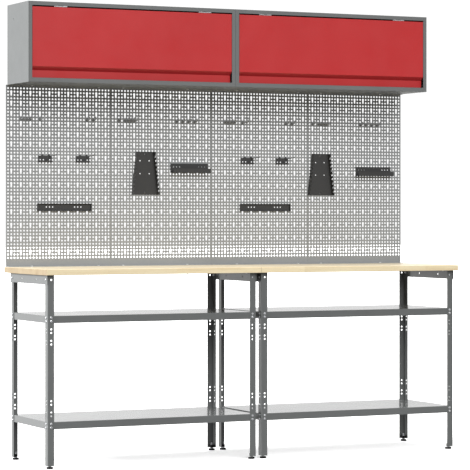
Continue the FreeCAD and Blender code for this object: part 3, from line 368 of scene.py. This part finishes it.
def lock_nut(name, low, high):
    """A thin hexagon nut with chamfered corners."""
    flat = NUT_ACROSS / 2
    face = flat * 0.97
    profile = [(face, low, chamfered_hexagonal), (flat, low + NUT_CHAMFER, hexagonal),
               (flat, high - NUT_CHAMFER, hexagonal), (face, high, chamfered_hexagonal)]
    rings = [ring(radius, level, 48, shape) for radius, level, shape in profile]
    return rings_to_object(name, rings, ZINC, smooth_angle=20)


def levelling_feet():
    """Eight feet, each of a pad, a threaded stud and a lock nut, in place of the plain ones."""
    for side in SIDES:
        for number in range(1, 5):
            node = f"foot_{side}_{number}"
            low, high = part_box(node)
            centre = Vector(((low.x + high.x) / 2, (low.y + high.y) / 2, low.z))
            pad = foot_pad(f"{node}_pad", (high.x - low.x) / 2)
            stud = threaded_stud(f"{node}_stud", NUT_LEVEL - STUD_BURIED, high.z - low.z)
            nut = lock_nut(f"{node}_nut", NUT_LEVEL, NUT_TOP)
            settle(pad, centre, node)
            settle(stud, centre, node)
            settle(nut, centre, node)
            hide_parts(node)


def socket_screw(name, place, toward, radius):
    """A low button-head screw with a hexagon socket, seated on a surface that faces toward."""
    tall, socket, depth, sunk = radius * 0.52, radius * 0.42, radius * 0.36, 0.0002
    mouth = tall * 0.93
    dome = [(radius * math.cos(angle), tall * math.sin(angle))
            for angle in (math.radians(degrees) for degrees in (0, 18, 36, 52, 64))]
    rings = [ring(radius * 0.96, -sunk, 36)]
    rings += [ring(across, level, 36) for across, level in dome]
    rings += [ring(socket, mouth, 36, hexagonal), ring(socket, mouth - depth, 36, hexagonal)]
    screw = rings_to_object(name, rings, BLACK_OXIDE, smooth_angle=40)
    return settle(screw, place, "root", toward)


def holder_screws():
    """Screws that hold the spanner racks to the perforated panels."""
    forward = (0, -1, 0)
    for side in SIDES:
        low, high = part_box(f"spanner_rack_{side}")
        face = high.y - RACK_GAUGE
        middle = (low.x + high.x) / 2
        for row, level in enumerate(RACK_SCREW_LEVELS, 1):
            socket_screw(f"spanner_rack_{side}_screw_{row}", (middle, face, low.z + level), forward,
                         RACK_SCREW_RADIUS)


# ---------------------------------------------------------------- perforated panels

COLUMNS, ROWS, HOLE_PITCH = 33, 51, 0.015
KEY_COLUMNS = range(1, COLUMNS, 3)
KEY_ROWS = (*range(1, 14, 3), *range(16, 50, 4))
PUNCH, KEY, KEY_SLOT = 0.00425, 0.0055, 0.0040
SHEET, PANEL_DEEP, HEM, FOOT_BAND = 0.0015, 0.0045, 0.0045, 0.040
FLANGE_INSET, FOLD_RADIUS, BURIED = 0.002, 0.0015, 0.0007


def arc(level, radius, start, end, steps):
    """Points of an arc in the panel's plane, as pairs of X and Z from the hole's centre."""
    turns = [math.radians(start + (end - start) * step / steps) for step in range(steps + 1)]
    return [(radius * math.cos(turn), level + radius * math.sin(turn)) for turn in turns]


def hole_outline(is_key):
    """The runs of a hole's edge that face down, right, up and left, in that order round it."""
    if not is_key:
        return [arc(0.0, PUNCH, start, start + 90, 5) for start in (225, 315, 405, 495)]
    neck = -math.degrees(math.acos(KEY_SLOT / KEY))
    heel = -HOLE_PITCH
    right = arc(heel, KEY_SLOT, -45, 0, 3) + arc(0.0, KEY, neck, 45, 6)
    left = arc(0.0, KEY, 135, 180 - neck, 6) + arc(heel, KEY_SLOT, 180, 225, 3)
    return [arc(heel, KEY_SLOT, 225, 315, 5), right, arc(0.0, KEY, 45, 135, 6), left]


def cell_faces(x, z, is_key):
    """The four flat faces round one hole, and the hole's edge, as points (X, Z)."""
    half, rows = HOLE_PITCH / 2, 2 if is_key else 1
    west, east, north = x - half, x + half, z + half
    south = north - rows * HOLE_PITCH
    down, right, up, left = [[(x + dx, z + dz) for dx, dz in run] for run in hole_outline(is_key)]
    sides = {"right": [(east, z - half)] if is_key else [], "left": [(west, z - half)] if is_key else []}
    faces = [[(west, south), (east, south)] + down[::-1],
             [(east, south)] + sides["right"] + [(east, north)] + right[::-1],
             [(east, north), (west, north)] + up[::-1],
             [(west, north)] + sides["left"] + [(west, south)] + left[::-1]]
    return faces, down + right + up + left


def panel_lines(low, high):
    """The panel's rows and columns of holes, from its box."""
    columns = [low.x + (high.x - low.x - (COLUMNS - 1) * HOLE_PITCH) / 2 + step * HOLE_PITCH
               for step in range(COLUMNS)]
    rows = [low.z + FOOT_BAND + (ROWS - 1 - step) * HOLE_PITCH for step in range(ROWS)]
    return columns, rows


def perforated_panel(node):
    """A punched sheet with every round hole and keyhole, and its hem."""
    low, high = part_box(node)
    columns, rows = panel_lines(low, high)
    front, rear = high.y - PANEL_DEEP, high.y - PANEL_DEEP + SHEET
    mesh = bmesh.new()
    corners = {}

    def vertex(x, y, z):
        key = (round(x, 6), round(y, 6), round(z, 6))
        if key not in corners:
            corners[key] = mesh.verts.new((x, y, z))
        return corners[key]

    def wall(outline, y):
        spots = []
        for x, z in outline:
            spot = vertex(x, y, z)
            if not spots or spots[-1] is not spot:
                spots.append(spot)
        mesh.faces.new(spots if y == front else spots[::-1])

    key_heads = {(column, row) for column in KEY_COLUMNS for row in KEY_ROWS}
    key_heels = {(column, row + 1) for column, row in key_heads}
    for column, x in enumerate(columns):
        for row, z in enumerate(rows):
            if (column, row) in key_heels:
                continue
            faces, edge = cell_faces(x, z, (column, row) in key_heads)
            for y in (front, rear):
                for outline in faces:
                    wall(outline, y)
            rim = [spot for spot, before in zip(edge, edge[-1:] + edge[:-1])
                   if math.dist(spot, before) > 1e-7]
            for start, end in zip(rim, rim[1:] + rim[:1]):
                face = mesh.faces.new((vertex(end[0], front, end[1]), vertex(start[0], front, start[1]),
                                       vertex(start[0], rear, start[1]), vertex(end[0], rear, end[1])))
                face.smooth = True
    half = HOLE_PITCH / 2
    grid_x = [columns[0] - half + step * HOLE_PITCH for step in range(COLUMNS + 1)]
    grid_z = [rows[0] + half - step * HOLE_PITCH for step in range(ROWS + 1)]
    left, right, foot, head = low.x, high.x, low.z, high.z
    for y in (front, rear):
        inner = 0.0 if y == front else HEM
        wall([(left + inner, foot + inner), (right - inner, foot + inner)]
             + [(x, grid_z[-1]) for x in reversed(grid_x)], y)
        wall([(x, grid_z[0]) for x in grid_x] + [(right - inner, head - inner),
                                                 (left + inner, head - inner)], y)
        wall([(left + inner, foot + inner)] + [(grid_x[0], z) for z in reversed(grid_z)]
             + [(left + inner, head - inner)], y)
        wall([(right - inner, foot + inner), (right - inner, head - inner)]
             + [(grid_x[-1], z) for z in grid_z], y)
    rim = [(left, foot), (right, foot), (right, head), (left, head)]
    lip = [(left + HEM, foot + HEM), (right - HEM, foot + HEM), (right - HEM, head - HEM),
           (left + HEM, head - HEM)]
    for step in range(4):
        follower = (step + 1) % 4
        (x0, z0), (x1, z1), (x2, z2), (x3, z3) = rim[step], rim[follower], lip[follower], lip[step]
        mesh.faces.new((vertex(x1, front, z1), vertex(x0, front, z0), vertex(x0, high.y, z0),
                        vertex(x1, high.y, z1)))
        mesh.faces.new((vertex(x1, high.y, z1), vertex(x0, high.y, z0), vertex(x3, high.y, z3),
                        vertex(x2, high.y, z2)))
        mesh.faces.new((vertex(x2, high.y, z2), vertex(x3, high.y, z3), vertex(x3, rear, z3),
                        vertex(x2, rear, z2)))
    bmesh.ops.recalc_face_normals(mesh, faces=mesh.faces)
    data = bpy.data.meshes.new(f"{node}_sheet")
    mesh.to_mesh(data)
    mesh.free()
    data.materials.append(PANEL_GREY)
    panel = bpy.data.objects.new(f"{node}_sheet", data)
    bpy.context.scene.collection.objects.link(panel)
    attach(panel, "root")
    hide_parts(node)
    return panel


def folded_flange(node, name, edge_z, upward):
    """A panel's mounting flange: a strip turned forward off the sheet with a filleted fold."""
    low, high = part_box(node)
    front, sign = high.y - PANEL_DEEP, 1 if upward else -1
    fillet = []
    for step in range(6):
        turn = math.radians(90 * step / 5)
        rise = SHEET + FOLD_RADIUS * (1 - math.cos(turn))
        fillet.append((front - FOLD_RADIUS * (1 - math.sin(turn)), edge_z + sign * rise))
    section = [(front + BURIED, edge_z + sign * BURIED / 2), (front, edge_z), (low.y, edge_z),
               (low.y, edge_z + sign * SHEET)] + fillet + [(front + BURIED, fillet[-1][1])]
    ends = (low.x + FLANGE_INSET, high.x - FLANGE_INSET)
    rings = [[Vector((x, y, z)) for y, z in section] for x in ends]
    flange = rings_to_object(name, rings, PANEL_GREY, smooth_angle=40)
    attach(flange, "root")


def panels():
    for number in range(1, 5):
        node = f"pegboard_{number}"
        low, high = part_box(node)
        perforated_panel(node)
        folded_flange(node, f"{node}_foot_flange", low.z, upward=True)
        folded_flange(node, f"{node}_head_flange", high.z, upward=False)


# ---------------------------------------------------------------- studio

# Strength of the surround along each axis: from, to, and the strengths there.
LIGHT_BY_AXIS = {"Z": (-0.5, 0.9, 0.14, 0.42), "Y": (0.0, 0.75, 0.15, 0.98), "X": (-0.9, 0.2, 0.20, 0.0)}
BACKDROP_STRENGTH = 1.05
# Lamps: the way their light travels, its strength, and how wide the lamp looks in degrees.
LAMPS = {"key": ((0.86, 0.0, -0.50), 6.2, 24), "fill": ((0.0, 0.87, -0.49), 2.2, 40)}
FLOOR_EXTENT, FLOOR_GLOW = 60.0, 0.5
# Camera: its place, its turn about the vertical in degrees, and its lens.
EYE, TURN, LENS_MM, SENSOR_MM, SHIFT_DOWN = (-4.5486, -9.4714, 1.0828), -25.64, 178.86, 36.0, 0.0466


def studio_light(world):
    """What lights the object: bright behind and above, a little on the left, dimmer elsewhere.

    The camera itself sees an even white surround in every direction.
    """
    tree = world.node_tree
    seen = tree.nodes["Background"]
    seen.inputs["Color"].default_value = (1.0, 1.0, 1.0, 1.0)
    seen.inputs["Strength"].default_value = BACKDROP_STRENGTH
    direction = tree.nodes.new("ShaderNodeTexCoord").outputs["Generated"]
    parts = tree.nodes.new("ShaderNodeSeparateXYZ")
    tree.links.new(direction, parts.inputs[0])
    lit = tree.nodes.new("ShaderNodeBackground")
    total = None
    for axis, stops in LIGHT_BY_AXIS.items():
        ramp = tree.nodes.new("ShaderNodeMapRange")
        ramp.interpolation_type = "SMOOTHSTEP"
        tree.links.new(parts.outputs[axis], ramp.inputs["Value"])
        for name, number in zip(("From Min", "From Max", "To Min", "To Max"), stops):
            ramp.inputs[name].default_value = number
        if total is None:
            total = ramp.outputs["Result"]
        else:
            joined = tree.nodes.new("ShaderNodeMath")
            joined.operation = "ADD"
            tree.links.new(total, joined.inputs[0])
            tree.links.new(ramp.outputs["Result"], joined.inputs[1])
            total = joined.outputs[0]
    tree.links.new(total, lit.inputs["Strength"])
    path = tree.nodes.new("ShaderNodeLightPath")
    mix = tree.nodes.new("ShaderNodeMixShader")
    tree.links.new(path.outputs["Is Camera Ray"], mix.inputs[0])
    tree.links.new(lit.outputs[0], mix.inputs[1])
    tree.links.new(seen.outputs[0], mix.inputs[2])
    tree.links.new(mix.outputs[0], tree.nodes["World Output"].inputs["Surface"])


def lamp(name, travel, energy, angle):
    """A broad far lamp whose light travels in the given direction."""
    light = bpy.data.lights.new(name, "SUN")
    light.energy = energy
    light.angle = math.radians(angle)
    holder = bpy.data.objects.new(name, light)
    holder.rotation_mode = "QUATERNION"
    holder.rotation_quaternion = Vector(travel).to_track_quat("-Z", "Y")
    bpy.context.scene.collection.objects.link(holder)


def studio():
    """A pale floor and surround, a soft key high on the left and a broad fill high in front."""
    floor_mesh = bpy.data.meshes.new("floor")
    corners = [(x * FLOOR_EXTENT, y * FLOOR_EXTENT, 0) for x, y in ((-1, -1), (1, -1), (1, 1), (-1, 1))]
    floor_mesh.from_pydata(corners, [], [(0, 1, 2, 3)])
    floor = bpy.data.objects.new("floor", floor_mesh)
    paint = Surface("floor_paint", (0.99, 0.99, 0.99), roughness=0.9, specular=0.1)
    mottle = paint.ramp(paint.noise(1.5), [(0.3, (0.98, 0.98, 0.98)), (0.7, (0.995, 0.995, 0.995))])
    paint.link(mottle, "Base Color")
    paint.shader.inputs["Emission Color"].default_value = (1.0, 1.0, 1.0, 1.0)
    paint.shader.inputs["Emission Strength"].default_value = FLOOR_GLOW
    floor_mesh.materials.append(paint.material)
    bpy.context.scene.collection.objects.link(floor)
    floor.visible_diffuse = False
    floor.visible_glossy = False

    world = bpy.data.worlds.new("studio")
    world.use_nodes = True
    studio_light(world)
    bpy.context.scene.world = world
    for name, (travel, energy, angle) in LAMPS.items():
        lamp(name, travel, energy, angle)
    bpy.context.scene.view_settings.view_transform = "Standard"


def camera():
    """A level camera well in front and to the left, framed a little below its own height."""
    lens = bpy.data.cameras.new("camera")
    lens.lens = LENS_MM
    lens.sensor_width = SENSOR_MM
    lens.shift_y = -SHIFT_DOWN
    lens.clip_end = 200.0
    eye = bpy.data.objects.new("camera", lens)
    eye.location = EYE
    eye.rotation_euler = (math.radians(90), 0.0, math.radians(TURN))
    bpy.context.scene.collection.objects.link(eye)
    bpy.context.scene.camera = eye


camera()
studio()
finish_nodes()
panels()
levelling_feet()
holder_screws()
